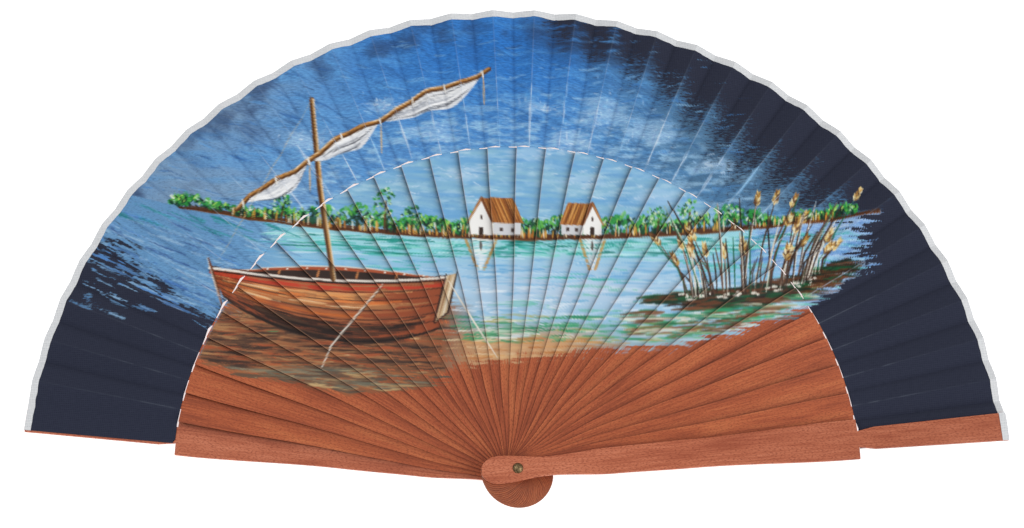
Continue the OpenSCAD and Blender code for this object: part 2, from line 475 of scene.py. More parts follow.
def nearest(points, x, y):
    """Distance to a line through points, the share of its length, and the side."""
    steps = np.hypot(*np.diff(points, axis=0).T)
    total = max(steps.sum(), 1e-6)
    best, along, side = np.full(x.shape, 1e9), np.zeros(x.shape), np.zeros(x.shape)
    start = 0.0
    for (ax, ay), (bx, by), step in zip(points[:-1], points[1:], steps):
        dx, dy = bx - ax, by - ay
        t = unit(((x - ax) * dx + (y - ay) * dy) / max(step * step, 1e-9))
        ox, oy = x - ax - t * dx, y - ay - t * dy
        away = np.hypot(ox, oy)
        closer = away < best
        best = np.where(closer, away, best)
        along = np.where(closer, (start + t * step) / total, along)
        side = np.where(closer, np.sign(dx * oy - dy * ox) * away, side)
        start += step
    return best, along, side, total


def stroke(points, width, code, alpha=1.0, dry=0.0, taper=0.6):
    """One stroke of the brush. A dry brush leaves gaps between its bristles.

    The width and alpha may be ranges and the colour a list. They are drawn in that order.
    """
    width, code, alpha = drawn(width), drawn(code), drawn(alpha)
    points = np.asarray(points, float)
    window = window_of(points, width)
    x, y = X[window], Y[window]
    if x.size == 0:
        return
    away, along, side, total = nearest(points, x, y)
    half = width / 2 * (1 - taper * np.abs(2 * along - 1) ** 2)
    mark = unit((half - away) / GRAIN + 0.5) * alpha
    if dry:
        seed = int(abs(points[0, 0] * 31 + points[0, 1] * 17)) % 97
        bristle = noise(side / 0.45 + 50, along * total / 7 + 9, seed)
        mark = mark * unit((bristle - dry) / 0.2 + 0.5)
    lay(window, code, mark)


def fill(points, code, alpha=1.0):
    """A closed shape in one colour."""
    points = np.asarray(points, float)
    window = window_of(points, 1.0)
    x, y = X[window], Y[window]
    inside = np.zeros(x.shape, bool)
    ring = np.vstack([points, points[:1]])
    for (ax, ay), (bx, by) in zip(ring[:-1], ring[1:]):
        if ay != by:
            inside ^= ((ay > y) != (by > y)) & (x < (bx - ax) * (y - ay) / (by - ay) + ax)
    away = nearest(ring, x, y)[0]
    edge = np.where(inside, away, -away)
    lay(window, code, unit(edge / GRAIN + 0.5) * alpha)


# %% [markdown]
# The paint doesn't reach every part. The ends of the leaf stay plain navy, the lower
# part of the sticks stays bare wood, and the edges between are brushed out dry. On the
# right the paint covers most just after each ridge and least in the valleys.

# %% Where the paint reaches
LOWER_EDGE = np.array(
    [
        (-150, 53), (-133, 46), (-122, 43), (-112, 40), (-95, 38), (-75, 34), (-51, 35),
        (-38, 39), (-32, 44), (-8, 49), (19, 52), (45, 55), (72, 58), (98, 65), (116, 70),
        (128, 77), (141, 85), (152, 95), (158, 108), (164, 121), (215, 150),
    ]
)
CLOTH_EDGE = np.array([(-215, 122), (-200, 114), (-188, 107), (-176, 97), (-156, 85), (-139, 74)])
R, RAY = np.hypot(X, Y), np.degrees(np.arctan2(Y, X))
streaks = layered(X / 16 + 40, Y / 1.1 + 40, 3)
fine = layered(X / 5 + 11, Y / 0.9 + 11, 5, 3)
falling = layered((0.87 * X - 0.5 * Y) / 13 + 90, (0.5 * X + 0.87 * Y) / 1.2 + 90, 7)
after_ridge = ((place_angle(0) + SLIP_HALF_ANGLE - RAY) / PITCH) % 1
cover_after_ridge = np.exp(-after_ridge / 0.26) + 0.7 * np.exp(-(1 - after_ridge) / 0.05)
lower_y = np.interp(X[0], LOWER_EDGE[:, 0], LOWER_EDGE[:, 1])[None, :]
drifting = layered((0.87 * X - 0.5 * Y) / 26 + 60, (0.5 * X + 0.87 * Y) / 6 + 60, 27, 3)
cloth_y = np.interp(X[0], CLOTH_EDGE[:, 0], CLOTH_EDGE[:, 1])[None, :]
left_cloth = (X < -110) & (R > SHOULDER_R - 0.5)
lower_y = np.where(left_cloth, cloth_y, lower_y)
ragged = np.where(left_cloth, (falling - 0.5) * 20 + (drifting - 0.5) * 14,
                  (streaks - 0.5) * 9 + (fine - 0.5) * 5)
soft_edge = np.where(left_cloth, 12.0, 5.5)
reach_down = unit((Y - lower_y + ragged) / soft_edge + 0.5)
bare_patch = bell((X + 180 + 0.6 * (Y - 100)) / 12, (Y - 100) / 3.4)
left_bare = np.clip(1.7 * bare_patch * (0.5 + drifting) - 0.3, 0, 0.95)
reach_down *= 1 - np.where(left_cloth, left_bare, 0)
end_x = np.interp(Y[:, 0], [100, 121, 140, 165, 190, 215], [166, 150, 126, 88, 50, 12])
past_end = X - end_x[:, None]
grainy = layered(X / 11 + 31, Y / 0.7 + 31, 9, 3)
right_fade = unit(0.56 - past_end / 70 + (cover_after_ridge - 0.45) * 0.5 + (grainy - 0.5) * 0.4
                     + (layered(RAY / 3, R / 24, 8) - 0.5) * 0.4)
right_fade = np.where(R < SHOULDER_R, 1, right_fade * unit(1.5 - past_end / 32))
water_end = unit((154 - X + (streaks - 0.5) * 62 + (grainy - 0.5) * 20) / 9)
right_fade = np.where((Y < 119) & (X > 60), water_end, right_fade)
thin_left = 1 - 0.3 * unit((-X - 105) / 40) * (R > SHOULDER_R)
thin_right = 1 - 0.4 * unit((X - 45) / 50) * (R > SHOULDER_R) * (Y > 122)
painted = reach_down * right_fade * thin_left * thin_right
cover[...] = painted
print("painted share of the canvas", round(float(painted.mean()), 2))

# %% [markdown]
# The sky: deeper blue at the left and along the top, paler near the far shore, with thin
# clouds and the dark cloth showing through where the brush ran dry.

# %% Sky
sky = unit((Y - 107) / 95)
on_cloth = ease((R - SHOULDER_R + 2) / 4)
on_wood = 1 - on_cloth
soft = layered(X / 34 + 7, Y / 18 + 7, 21)
rough = layered(X / 6 + 3, Y / 1.6 + 3, 55)
wash("#2c72bf", on_cloth * bell((X + 8) / 80, (Y - 196) / 36))
wash("#7d9dbd", on_cloth * unit((-X - 70) / 60) * (0.35 + 0.9 * soft))
wash("#4d7495", on_cloth * unit((X - 22) / 55) * 0.9)
wash("#8abbd4", on_wood * 0.9)
wash("#6fa3cf", on_wood * unit((streaks - 0.45) * 4) * 0.7)
wash("#b0d2e4", on_wood * unit((rough - 0.52) * 5) * 0.6)
wash("#5a9bd6", unit((layered(X / 30 + 2, Y / 3 + 2, 61) - 0.5) * 4) * 0.5)
wash("#2b5890", on_cloth * unit((falling - 0.55) * 5) * ease(sky * 1.6) * 0.4)
rim = ease((R - 176) / 36)
smudge = layered(RAY / 4 + 5, R / 12 + 5, 33)
wash("#28395c", rim * unit((smudge - 0.68 + 0.22 * rim) * 4) * 0.6)
wash("#232c42", on_cloth * unit((X - 2) / 30) * ease((R - 186) / 20)
     * unit((fine - 0.2) * 3))
low_sky = bell((R - 158) / 17) * on_cloth
wash("#9cc3e0", low_sky * unit((rough - 0.48) * 5) * 0.7)
CLOUDS = [(38, 166, 15, 10), (60, 157, 17, 8), (22, 152, 12, 7), (-38, 156, 12, 6),
          (88, 141, 12, 5), (28, 133, 14, 4), (62, 126, 14, 5), (-24, 136, 12, 4),
          (-96, 150, 12, 6), (4, 146, 12, 4), (-62, 168, 9, 4), (8, 168, 8, 4)]
for cx, cy, wide, high in CLOUDS:
    body = bell((X - cx) / wide, (Y - cy) / high)
    patch = layered(X / 4.2 + cx, Y / 1.0 + cy, 71)
    wash("#a9cbe8", np.clip((body * (0.25 + patch) - 0.3) * 1.9, 0, 0.55))
for _ in range(420):
    cx, cy, wide, high = CLOUDS[rng.integers(len(CLOUDS))]
    x, y = rng.normal(cx, wide * 0.6), rng.normal(cy, high * 0.55)
    a = between(-0.5, 0.5) + (1.3 if y > 150 and between(0, 1) < 0.4 else 0)
    long = between(1.2, 4.5)
    stroke([(x, y), (x + long * math.cos(a), y + long * math.sin(a))], (0.4, 1.3),
           ["#cfe0ee", "#b9d2ea", "#9fc2e4", "#dde5ee"], (0.25, 0.62), 0.5)
for _ in range(900):
    a, r = math.radians(between(40, 166)), between(151, 212)
    x, y = r * math.cos(a), r * math.sin(a)
    if y < 116 or x > 105 or (x > 45 and between(0, 1) < 0.5):
        continue
    if r > 190 or x < -90:
        codes = ["#3b78bf", "#2f5e9c", "#5596d4", "#345480", "#7ea8cc"]
    else:
        codes = ["#6da6da", "#3d7ac2", "#a2c6e2", "#86b4dc", "#4c88ca"]
    lean = between(-0.16, 0.1) + (0.3 if x < -70 else 0)
    long = between(3, 11)
    stroke([(x, y), (x + long, y - long * lean)], (0.5, 1.6), codes, 0.5, 0.5)
for x, y in spots(420, -118, 112, 112, 148):
    if math.hypot(x, y) > SHOULDER_R:
        continue
    long = between(2, 10)
    stroke([(x, y), (x + long, y + long * between(-0.12, 0.16))], (0.4, 1.3),
           ["#c6dced", "#5f9fd4", "#dbe7f0", "#4f8cc6", "#9cc8e2", "#77b0d8"],
           (0.3, 0.6), 0.52)
for n in range(LAST):
    a = place_angle(n + 1) + SLIP_HALF_ANGLE
    if 50 < a < 146:
        way = np.array((math.cos(math.radians(a)), math.sin(math.radians(a))))
        far = between(156, 186)
        stroke([way * 151, way * far], (0.9, 1.7), ["#c2d6ea", "#8fc3ea", "#dce5ef"],
               (0.4, 0.7), 0.46, 0.8)
for _ in range(150):
    x = between(-196, -132)
    y = np.interp(x, CLOTH_EDGE[:, 0], CLOTH_EDGE[:, 1]) + rng.normal(3, 6)
    long = between(6, 18)
    stroke([(x - long * 0.45, y + long * 0.26), (x + long * 0.45, y - long * 0.3)],
           (0.4, 1.5), ["#8fb0ca", "#a5c0d6", "#6b92b8", "#2b3a58", "#3f6aa8"],
           (0.35, 0.7), 0.5)
print("sky done")

# %% [markdown]
# The water: turquoise under the far shore, pale blue in the middle, greens and ochre
# towards the near side, all in level strokes. The shallows round the boat are brown.

# %% Water


def shore(x):
    """Height of the far shore line, which rises towards both ends."""
    return 106.5 + 12.5 * (np.asarray(x) / 150.0) ** 2


def lowest(x):
    return np.interp(x, LOWER_EDGE[:, 0], LOWER_EDGE[:, 1])


water = (Y < shore(X)) * 1.0
depth = unit((106 - Y) / 55)
shallow = unit((78 - Y + (streaks - 0.5) * 10) / 4) * unit((-18 - X) / 16)
shallow *= ~left_cloth
wash("#86bcdc", water)
wash("#9fdcdc", water * bell((shore(X) - Y - 5) / 6) * (X > -112) * (X < 104) * 0.7)
wash("#8fb2dc", water * unit((X - 100) / 14) * on_cloth)
wash("#b7cfe6", water * bell((depth - 0.42) / 0.26) * bell((X - 20) / 75))
wash("#5f8ebc", water * unit((-X - 96) / 25) * 0.85)
wash("#d29a68", water * ease((depth - 0.66) / 0.22) * unit((X + 40) / 16)
     * np.clip((50 - X) / 30, 0.25, 1) * 0.9)
wash("#8a5638", water * shallow)
cover *= 1 - 0.55 * shallow * (R < SHOULDER_R) * unit((streaks - 0.42) * 6)
cover *= 1 - 0.6 * unit((58 - Y) / 8) * unit((X + 34) / 10) * (fine > 0.42)
BANDS = [
    (105, 97, ["#12897c", "#2aa898", "#7fd4c8", "#bfeaee", "#0c6f66", "#8ad4e0"], 420, 1.2),
    (97, 84, ["#8fc0e2", "#62a6d6", "#c2deee", "#3fb5aa", "#a6cee8", "#7cb2da"], 460, 1.4),
    (84, 70, ["#cadeee", "#96c2e2", "#dfeaf4", "#7cb4d8", "#6fbeae", "#b0cde4"], 440, 1.7),
    (70, 58, ["#2f9a66", "#dfe2cf", "#a9a75c", "#5fae80", "#e8e8de", "#1f8558", "#c9dce4"],
     360, 2.0),
    (60, 47, ["#c98d4e", "#d9ae7c", "#b9743f", "#e2c8a0", "#d39a5c", "#c07a48"], 260, 1.5),
]
for top, low, codes, count, width in BANDS:
    for x, y in spots(count, -112, 150, low, top):
        if x < -22 and y < 90 and between(0, 1) < 0.85:
            continue
        y = y + 11.0 * max(abs(x) / 150 - 0.25, 0) ** 1.4
        if y < lowest(x) + 1 or y > shore(x) - 1.5:
            continue
        long = between(5, 22)
        stroke([(x - long / 2, y), (x, y + between(-0.5, 0.5)), (x + long / 2, y)],
               (0.5, width), codes, (0.45, 0.9), 0.42)
for x, y in spots(240, -192, -104, 70, 116):
    if y < lowest(x) + 2 or y > shore(x) - 2:
        continue
    long = between(6, 22)
    codes = (["#0f7a74", "#2b8f8e", "#5aa0c4"] if y > shore(x) - 11 and between(0, 1) < 0.6
             else ["#8fb0cc", "#4f76a4", "#35558a", "#a0bed6", "#6c96be", "#4a7cc0"])
    stroke(lying(x, y, long, long * 0.2, -long * 0.2), (0.5, 1.8), codes, 0.6, 0.45)
for x, y in spots(130, 104, 158, 92, 116):
    long = between(6, 18)
    stroke(lying(x, y, long, -long * 0.08, long * 0.08), (0.5, 1.8),
           ["#8db3dc", "#6f9bd0", "#b8cfe8", "#5585c0"], 0.7, 0.45)
print("water done")

# %% [markdown]
# The far shore is a thin brown bank with trees dabbed over it in three greens, dark
# first and light last, and fence posts in ochre. Two small cottages stand on it.

# %% Far shore and cottages
for n in range(6):
    xs = np.linspace(-152, 162, 40)
    ys = shore(xs) + between(-1.1, 1.0) + np.array([between(-0.3, 0.3) for _ in xs])
    stroke(np.c_[xs, ys], (0.8, 1.8), ["#6e3d18", "#4d2812", "#8a5a28"], 0.9, 0.2)
for code, count, low, high, size in (
    ("#14482c", 300, 0.8, 7.0, 2.6), ("#2b8f3e", 380, 1.6, 9.0, 2.2),
    ("#5fb548", 260, 3.0, 9.5, 1.6), ("#0d3226", 200, 0.8, 6.0, 1.6),
    ("#b5d66a", 110, 3.0, 9.0, 1.0), ("#0a2621", 170, 1.0, 8.5, 1.1),
    ("#bfe6cc", 50, 3.0, 9.5, 0.9), ("#e4ecdc", 24, 4.0, 9.0, 1.0),
):
    for _ in range(count):
        x = between(-156, 152)
        bunch = 0.35 + 1.0 * noise(np.array(x / 9.0 + 60), np.array(3.3), 77)
        thin = 0.55 if abs(x) > 108 else 1.0
        y = shore(x) + between(low, high) * bunch * thin
        stroke([(x, y), (x + between(-1.4, 1.4), y + between(0.3, 1.8))], size * between(0.6, 1.1),
               code, 0.9, 0.3, 0.2)
for _ in range(230):
    x = between(-128, 142)
    base = shore(x)
    stroke([(x, base - 0.4), (x + between(-0.4, 0.4), base + between(1.6, 5.4))],
           (0.45, 0.8), ["#d49a3d", "#e0b45a", "#c3772a", "#efe3c2", "#2c1c14"], 0.9)
for x, high in ((-60, 20), (-48, 12), (-106, 12), (76, 15), (96, 11), (62, 12)):
    base = shore(x)
    stroke([(x, base), (x + 0.7, base + high * 0.7)], 1.1, "#5a3b1e")
    for _ in range(60):
        a, d = between(0, 6.28), between(0, 1) ** 0.5
        px, py = x + 4.6 * d * math.cos(a), base + high * 0.68 + high * 0.34 * d * math.sin(a)
        stroke([(px, py), (px + between(-1.2, 1.2), py + between(-0.6, 1))], (0.9, 2.0),
               ["#1d6b35", "#2f9a41", "#134427", "#7cbf66", "#cfe3bd"], 0.9, 0.25)


def pane(left, right, low, high, code):
    fill([(left, low), (right, low), (right, high), (left, high)], code)


def cottage(x, y, wide, wall, roof, flip):
    """A white cottage with a steep thatched roof, its gable at one end."""
    s = -1 if flip else 1
    gable = [(x, y), (x + s * wide * 0.46, y), (x + s * wide * 0.46, y + wall),
             (x + s * wide * 0.23, y + wall + roof), (x, y + wall)]
    thatch = [(x + s * wide * 0.45, y + wall - 0.8), (x + s * wide * 1.05, y + wall - 0.8),
              (x + s * wide * 0.84, y + wall + roof), (x + s * wide * 0.23, y + wall + roof)]
    pane(x + s * wide * 0.46, x + s * wide, y, y + wall, "#cfd0d4")
    fill(gable, "#efeeeb")
    fill(thatch, "#a9642a")
    for _ in range(60):
        t = between(0.02, 0.98)
        top = np.array(thatch[3]) * (1 - t) + np.array(thatch[2]) * t
        foot = np.array(thatch[0]) * (1 - t) + np.array(thatch[1]) * t
        stroke([top, foot], 0.55, ["#d99a4a", "#7a421a", "#e0a860", "#9c5b24", "#5f3214"],
               0.75, 0.35)
    stroke([thatch[0], thatch[3], (x - s * 0.9, y + wall - 0.9)], 1.2, "#7a4420")
    stroke([thatch[3], (x - s * 0.9, y + wall - 0.9)], 0.5, "#d8a060")
    middle = x + s * wide * 0.23
    pane(middle - 1.0, middle + 0.9, y, y + 3.6, "#33241e")
    pane(middle - 0.4, middle + 0.5, y + wall + 1.0, y + wall + 2.8, "#4a3a34")
    for share in (0.62, 0.84):
        px = x + s * wide * share
        pane(px - 0.7, px + 0.7, y + 1.6, y + 3.3, "#453632")
    for n in range(17):
        drop = n * 0.85
        half = wide * 0.26 * (1 - n / 18)
        stroke([(middle - half, y - 2.4 - drop), (middle + half, y - 2.4 - drop)],
               (0.7, 1.1), ["#eef1f2", "#dfe6ea", "#f4f3ee"], 0.85, 0.3)
        for s2 in (-1, 1):
            stroke([(middle + s2 * (half + 1.5), y - 2.2 - drop),
                    (middle + s2 * half, y - 2.7 - drop)], 0.8, "#c98a3e", 0.8, 0.25)
    stroke([(middle - 0.2, y - 3), (middle, y - 7)], 1.3, "#4a3c36", 0.8, 0.3)


cottage(-22, float(shore(-10)) + 0.8, 23, 6.4, 11.0, False)
cottage(37, float(shore(26)) + 0.9, 18, 5.4, 9.4, True)
print("shore done")

# %% [markdown]
# The boat lies at the left on brown shallows: a clinker hull, a mast, and a long yard
# with the sail furled along it in three loose swags.

# %% Boat
kept_paint, kept_cover = paint.copy(), cover.copy()
for _ in range(560):
    x = between(-140, -38)
    floor_y = lowest(x)
    y = between(floor_y + 0.5, 70)
    long = between(8, 28)
    codes = (["#33241f", "#4f372b", "#8d5b3b", "#3d2c26", "#b08256", "#a9522f"] if y > 46
             else ["#4a4a44", "#8d8a72", "#c2a473", "#5f4a3a", "#a8663c", "#6e6f60"])
    stroke([(x - long / 2, y + 1.0), (x, y), (x + long / 2, y + 0.3)], (0.6, 2.2),
           codes, (0.4, 0.85), 0.46)
paint[left_cloth], cover[left_cloth] = kept_paint[left_cloth], kept_cover[left_cloth]


def hull_line(level):
    """A line along the hull, from the bow at the left; level 0 is the keel, 1 the rail."""
    t = np.linspace(0, 1, 26)
    rail = 83.5 + 7.0 * (1 - t) ** 2.4 + 4.0 * t**3
    keel = 56.0 + 21.0 * (1 - t) ** 3.2 + 8.0 * t**5
    x = -137 + 7 * (1 - level) * (1 - t) + (108 - 6 * (1 - level)) * t
    return np.c_[x, keel + (rail - keel) * level]


rail, keel = hull_line(1), hull_line(0)
fill(np.vstack([rail, keel[::-1]]), "#93482a")
PLANKS = ["#3a241c", "#5a3222", "#84462c", "#a5603a", "#c4682f", "#a9744a", "#d89a62", "#c2472a"]
for n, level in enumerate(np.linspace(0.03, 0.94, 60)):
    line = hull_line(level)
    line[:, 1] += between(-0.25, 0.25)
    first, last = int(between(0, 9)), int(between(16, 26))
    tone = int(np.clip(level * 7.9 + between(-1.5, 1.5), 0, 7))
    stroke(line[first:last], (0.6, 1.5), PLANKS[tone], 0.85, 0.35, 0.1)
for level in (0.2, 0.36, 0.52, 0.68, 0.82):
    stroke(hull_line(level), 0.5, "#2e1a14", 0.7, 0.15, 0.1)
for _ in range(26):
    first = int(between(2, 20))
    level, code = ((between(0.02, 0.34), "#281713") if between(0, 1) < 0.55
                   else (between(0.5, 0.8), pick(["#ecd2ac", "#f0a25c", "#e07a3a"])))
    stroke(hull_line(level)[first : first + 5], (0.7, 1.8), code, 0.75, 0.42)
for _ in range(30):
    first = int(between(3, 18))
    stroke(hull_line(between(-0.03, 0.3))[first : first + 7], (0.9, 2.0),
           ["#1e1412", "#2b1a14", "#3a241a", "#4a3426"], 0.8, 0.4)
stroke(hull_line(0.01), 1.3, "#1f1412", 0.9, 0.15, 0.3)
stroke(hull_line(0.88), 1.8, "#c23a26", 0.85, 0.25, 0.1)
stroke(hull_line(0.6)[3:22], 0.7, "#e0a066", 0.7, 0.35, 0.1)
inner = hull_line(1.0)[2:-1]
arch = np.c_[np.zeros(len(inner)), np.sin(np.linspace(0, np.pi, len(inner)))]
fill(np.vstack([inner - 1.2 * arch, (inner + 5.6 * arch)[::-1]]), "#33241f")
stroke(inner + 5.6 * arch, 1.6, "#a8502f")
for n in range(2, len(inner) - 2, 2):
    spot = inner[n] + 5.6 * arch[n]
    stroke([spot - (0.4, 0.2), spot + (0.4, 0.2)], 0.7, "#f0ece2")
stroke(inner + 6.7 * arch, 0.6, "#dcd6cc", 0.9)
for share in (5, 9, 13, 17, 20):
    stroke([inner[share], inner[share] + 5.2 * arch[share] + (1.2, 0)], 0.9, "#c9824c", 0.95)
stroke(rail + (0, 0.3), 1.2, "#e9e2d8", 0.95, 0.05, 0.1)
stroke(rail - (0, 0.8), 0.7, "#2a1712", 0.95, 0.05, 0.1)
stroke(rail + (0, 1.1), 0.5, "#3a211a", 0.85, 0.2, 0.1)
fill([(-31.5, 88.5), (-27.6, 89.5), (-31.5, 71.5), (-36.5, 67)], "#c9b08c")
for x in (-31.8, -30.2, -28.6):
    stroke([(x, 88.6), (x - 5.0, 68.5)], 0.6, ["#4a2a1c", "#8d5a38", "#efe6d6"], 0.9, 0.2)
stroke([(-32.0, 89), (-37.2, 66.5)], 0.9, "#2a1712", 0.95)
stroke([(-27.2, 90), (-31.0, 71.5), (-36.8, 66.5)], 0.9, "#2a1712", 0.95)
stroke([(-137.5, 95), (-130.5, 73)], 1.5, "#6b3a22")
stroke([(-138.2, 95), (-131.4, 75)], 0.5, "#e5ddd0")
MAST_FOOT, MAST_TOP = np.array((-82.0, 86.0)), np.array((-94.0, 170.0))
stroke([MAST_FOOT, (-89, 128), MAST_TOP], 2.6, "#5c3a1e", 1, 0, 0.2)
stroke([MAST_FOOT + (0.6, 0), (-88.4, 128), MAST_TOP + (0.6, 0)], 1.0, "#c99a5c", 0.95, 0.15, 0.2)
stroke([MAST_FOOT + (1.1, 0), (-87.9, 128), MAST_TOP + (1.0, 0)], 0.45, "#f0e2c8", 0.9, 0.3, 0.2)
t = np.linspace(0, 1, 40)
yard = np.c_[-126 + 112 * t, 118 + 92 * t - 24 * t * t + 1.3 * np.sin(t * 19)]
ties = [1, 11, 22, 38]
for first, last in zip(ties[:-1], ties[1:]):
    part = yard[first : last + 1]
    hang = np.sin(np.linspace(0, np.pi, len(part)))[:, None]
    drop = hang * np.array((2.6, -3.0 - 0.26 * (last - first)))
    fill(np.vstack([part + 0.15 * drop, (part + drop * (1 + 0.12 * np.cos(
        np.linspace(0, 9, len(part))))[:, None] * 1.35)[::-1]]), "#dfe1e4")
    for _ in range(16):
        depth_in = between(0.25, 1.3)
        a, b = int(between(0, len(part) * 0.4)), int(between(len(part) * 0.6, len(part)))
        stroke((part + drop * depth_in)[a:b], (0.4, 0.9),
               ["#ffffff", "#c3c8d0", "#f6f6f4", "#8f949e", "#4a4e58"], 0.7, 0.3)
stroke(yard, 2.5, "#5f3c1e", 1, 0, 0.15)
stroke(yard + (-0.2, 0.5), 1.2, "#b9803f", 0.95, 0.1, 0.15)
stroke(yard + (-0.3, 0.9), 0.5, "#f0dfc0", 0.9, 0.3, 0.15)
for n in (1, 6, 11, 16, 22, 27, 32, 38):
    stroke([yard[n] + (-0.4, 1.8), yard[n] + (0.5, -2.6)], 0.8, "#f0ede6")
for n, long in ((11, 12), (22, 14), (38, 13)):
    stroke([yard[n] + (0.4, -2), yard[n] + (1.0, -2 - long)], 0.7, "#caa97c", 0.95)
stroke([MAST_TOP, (-133, 94)], 0.45, "#c7b79a", 0.6)
stroke([(-31, 86), (-20, 68), (-9, 51)], 0.8, "#e7dfd0", 0.95)
stroke([(-60, 84), (-82, 56), (-86, 46)], 0.9, "#e3ddd2", 0.9)
stroke([(-59.4, 84), (-81.4, 56)], 0.4, "#4a3a30", 0.8)
print("boat done")

# %% [markdown]
# The near bank at the right: dark earth and greens in level strokes, then stems from
# dark to light, each with a seed head made of short strokes on both sides.

# %% Reeds
BANK = [(62, 78.5), (84, 79), (108, 82), (128, 87), (146, 95), (156, 103)]
bank_x, bank_y = np.array(BANK).T
for _ in range(380):
    x = between(60, 148)
    y = np.interp(x, bank_x, bank_y) + between(-5.5, 3.5) * (0.4 if x < 70 else 1)
    long = between(5, 18)
    stroke(lying(x, y, long, -0.4, 0.7), (0.7, 2.4),
           ["#231712", "#3f2418", "#0f3526", "#14522f", "#5f3720", "#12291f", "#6b3f26"],
           0.85, 0.35)
for _ in range(190):
    x = between(52, 140)
    y = np.interp(x, bank_x, bank_y) + between(-18, -5)
    if y < lowest(x) + 0.5:
        continue
    long = between(7, 22)
    stroke(lying(x, y, long, -0.5, 0.5), (0.6, 2.0),
           ["#178050", "#7d4a30", "#a9ab7c", "#2f9a63", "#d8d2bd", "#0f6a48", "#8d5a3a", "#6b3f26"],
           0.75, 0.45)
for _ in range(40):
    x = between(70, 132)
    y = np.interp(x, bank_x, bank_y) + between(-1, 2)
    stroke([(x, y), (x + between(0.5, 3), y + between(-0.4, 0.6))], (0.6, 1.2), "#ebe7dc",
           0.9)
for n in range(70):
    foot = np.array((between(72, 136), 0.0))
    foot[1] = np.interp(foot[0], bank_x, bank_y) + between(-0.5, 2.5)
    spread = min((foot[0] - 98) / 34 + between(-0.45, 0.45), 0.85)
    tall = between(12, 47) * (1 - 0.2 * abs(foot[0] - 100) / 40)
    tip = foot + (spread * tall * 0.55, tall)
    bend = (foot + tip) / 2 + (spread * -2.0, 1.0)
    stroke([foot, bend, tip], (0.5, 1.0),
           ["#3f2a20", "#5f4030", "#ddd6c6", "#175a3a", "#4a3428", "#2c1d16"], 0.95, 0, 0.5)
    if n % 4 == 0:
        stroke([foot + (0.5, 0), bend + (0.5, 0), tip], 0.4, "#efe9dc", 0.9, 0, 0.5)
    if n % 3 == 0:
        way = (tip - bend) / np.hypot(*(tip - bend))
        across = np.array((-way[1], way[0]))
        for m in range(7):
            root = tip + way * (m * 0.95 - 1.0)
            for side in (-1, 1):
                stroke([root, root + way * 1.9 + across * side * (1.5 - m * 0.12)], 0.7,
                       ["#e3c27a", "#c08a38", "#f0deae", "#8f5f2e", "#5f3a20"], 0.95)
print("reeds done")

# %% Read the painting at a point


def painting_at(x, y):
    """Linear colour and cover of the painting at points in millimetres."""
    u = np.clip((np.asarray(x) + CANVAS_R) / GRAIN, 0, X.shape[1] - 1.01)
    v = np.clip((np.asarray(y) - CANVAS_LOW) / GRAIN, 0, X.shape[0] - 1.01)
    i, j = u.astype(int), v.astype(int)
    fu, fv = (u - i)[:, None], (v - j)[:, None]
    stack = np.dstack([paint, cover])
    low = stack[j, i] * (1 - fu) + stack[j, i + 1] * fu
    high = stack[j + 1, i] * (1 - fu) + stack[j + 1, i + 1] * fu
    mixed = low * (1 - fv) + high * fv
    mixed[np.asarray(y) < CANVAS_LOW + 1, 3] = 0
    return np.c_[to_linear(mixed[:, :3]), mixed[:, 3]]


# %% [markdown]
# ## Materials
# All surfaces with paint or wear share two things. Thin paint keeps to the raised part of
# the grain. Edges and folds are lighter, partly from wear and partly as a painted highlight,
# and painted shade darkens the corners and valleys beside them. The points of each mesh say
# where, in three values: the painting, the wear with its highlight, and the painted shade.

# %% Paint, wear and painted light


def dry_brush(tree, amount, grain):
    """How much paint shows: all or nothing where thick, broken by the grain where thin."""
    level = rescale(tree, grain, 0.32, 0.68)
    thick = maths(tree, "MULTIPLY_ADD", amount, 1.9, -0.4)
    over = maths(tree, "SUBTRACT", thick, level)
    return maths(tree, "MULTIPLY_ADD", over, 1.3, 0.5, clamp=True)


def add_painted_shade_and_wear(tree, colour, light, most_light, dark, most_dark):
    """Darkens a colour with painted shade, then lightens it where it has wear and where a highlight
    is painted.
    """
    shaded = maths(tree, "MULTIPLY", attribute(tree, "painted_shade"), most_dark)
    dim = mix_colours(tree, shaded, colour, linear(dark), "MULTIPLY")
    lightened = maths(tree, "MULTIPLY", attribute(tree, "wear_and_highlight"), most_light)
    return mix_colours(tree, lightened, dim, linear(light))


# %% [markdown]
# **Pearwood** is close-grained: fine fibres along the stick, slow changes of tone, and
# small flecks. It is rubbed smooth and thinly varnished, so it has a soft sheen.

# %% Pearwood


def pearwood(name, tones, fleck, painted_on):
    """Wood that reads the grain map: along the stick, then across it."""
    material, tree, shader = new_material(name)
    uv = add_node(tree, "UVMap", uv_map="grain").outputs["UV"]
    fibres = long_noise(tree, uv, (60, 1500, 1), 5.0)
    tone = long_noise(tree, uv, (16, 90, 1), 3.0)
    flecks = long_noise(tree, uv, (860, 2400, 1), 2.0, turn=1.0)
    wood = ramp(tree, mix(tree, 0.5, tone, fibres), (0.37, tones[0]), (0.5, tones[1]),
                (0.65, tones[2]))
    colour = mix_colours(tree, rescale(tree, flecks, 0.5, 0.66, 0.0, fleck), wood,
                         linear(tones[3]))
    if painted_on:
        art = add_node(tree, "Attribute", attribute_name="painting")
        brushed = dry_brush(tree, art.outputs["Alpha"], fibres)
        colour = mix_colours(tree, brushed, colour, art.outputs["Color"])
    # b98a6c lightens edges where they have wear and paints their highlight; #7d7270 is the painted
    # shade beside the next stick.
    feed(tree, shader, {"Base Color": add_painted_shade_and_wear(tree, colour, "#b98a6c", 0.42, "#7d7270", 0.78),
                        "Roughness": rescale(tree, fibres, 0.0, 1.0, 0.42, 0.56),
                        "Normal": bump(tree, fibres, 0.2, 0.00005),
                        "Specular IOR Level": 0.3})
    return material


